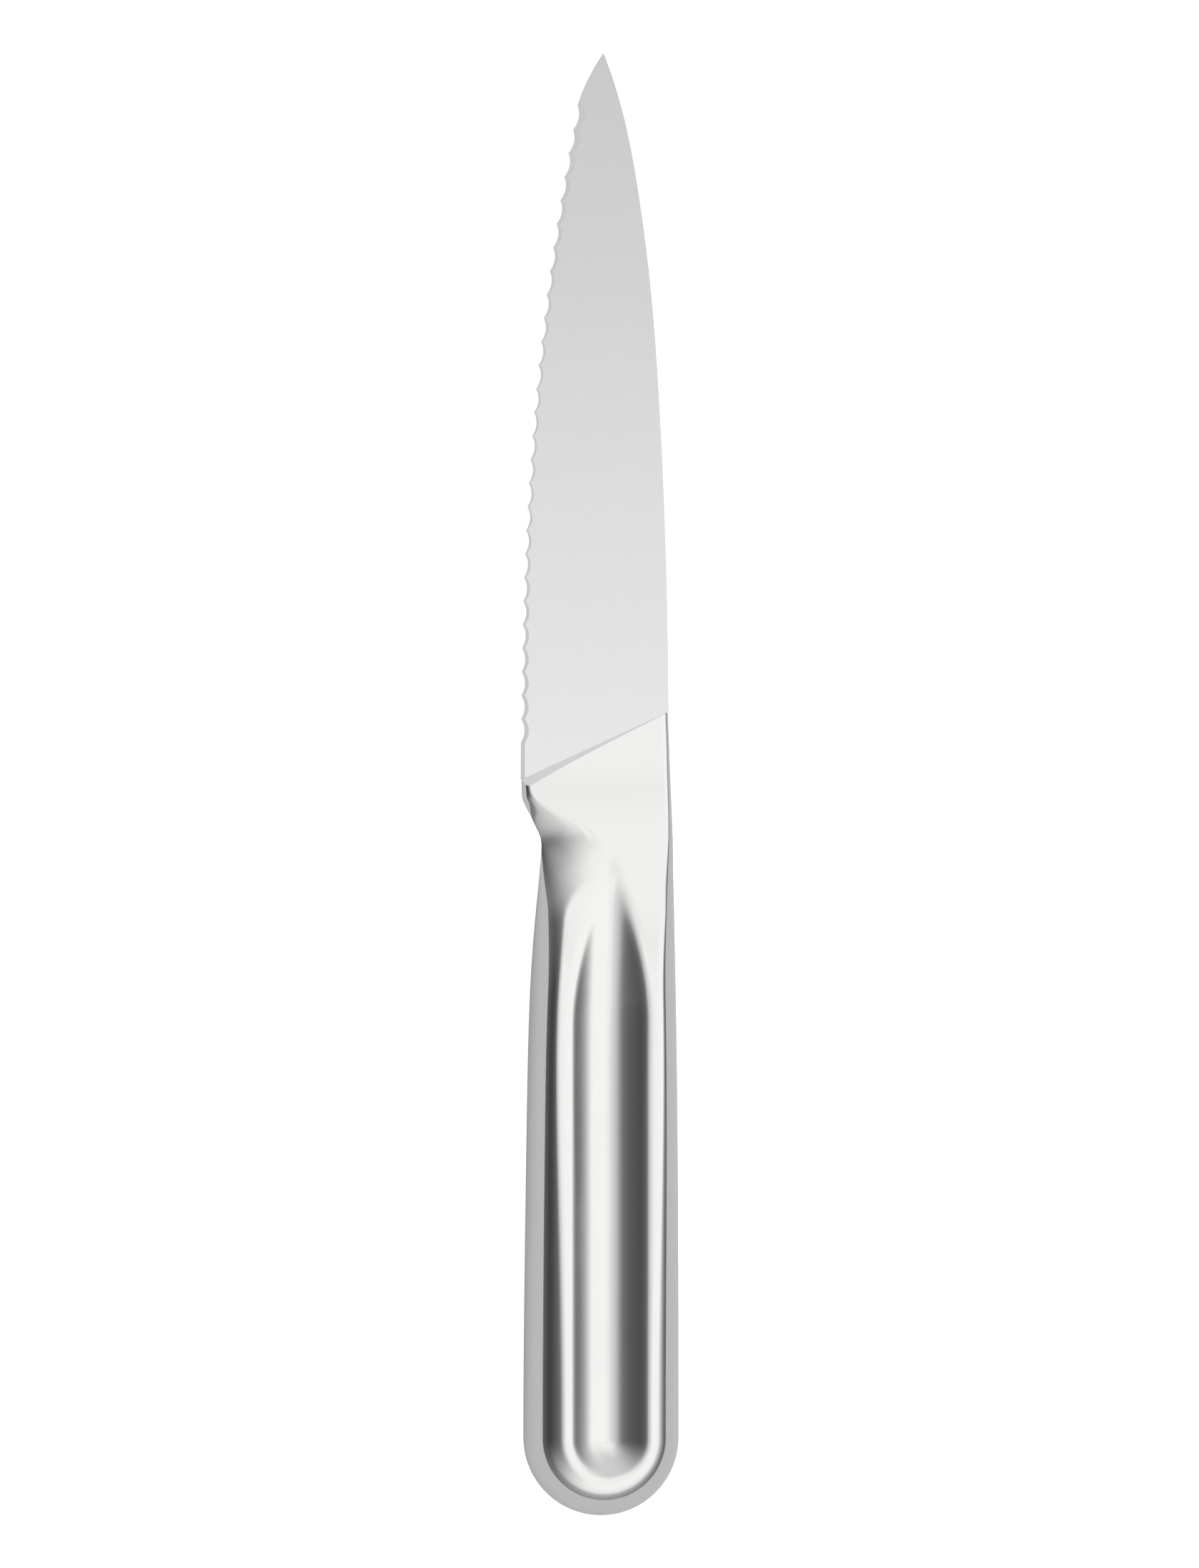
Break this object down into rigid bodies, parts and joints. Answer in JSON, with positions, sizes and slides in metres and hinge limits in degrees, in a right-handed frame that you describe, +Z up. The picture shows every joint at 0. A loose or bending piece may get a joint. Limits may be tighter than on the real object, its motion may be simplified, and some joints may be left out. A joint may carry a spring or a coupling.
{
  "type": "tomato knife",
  "caption": "All-steel serrated kitchen knife for tomatoes, with a slanted solid collar, a finger notch and a hollow round-ended handle with a long thumb hollow in each cheek.",
  "frame": {"origin": "middle of the footprint of the knife lying on its right cheek, on the surface it lies on", "axes": "+Y runs from the butt to the point, +X from the cutting edge to the back of the blade, +Z up out of the left cheek"},
  "size_m": [0.0273, 0.25, 0.0166],
  "materials": {
    "blade_steel": "fine satin ground along the blade",
    "polished_steel": "polished stainless steel",
    "cast_filler": "matt cast filler, hidden",
    "weight_steel": "raw mild steel, hidden"
  },
  "bodies": {
    "root": {"blade": "blade_steel", "collar": "polished_steel", "handle_shell_left": "polished_steel", "handle_shell_right": "polished_steel", "handle_core": "cast_filler", "balance_weight": "weight_steel"}
  },
  "joints": []
}
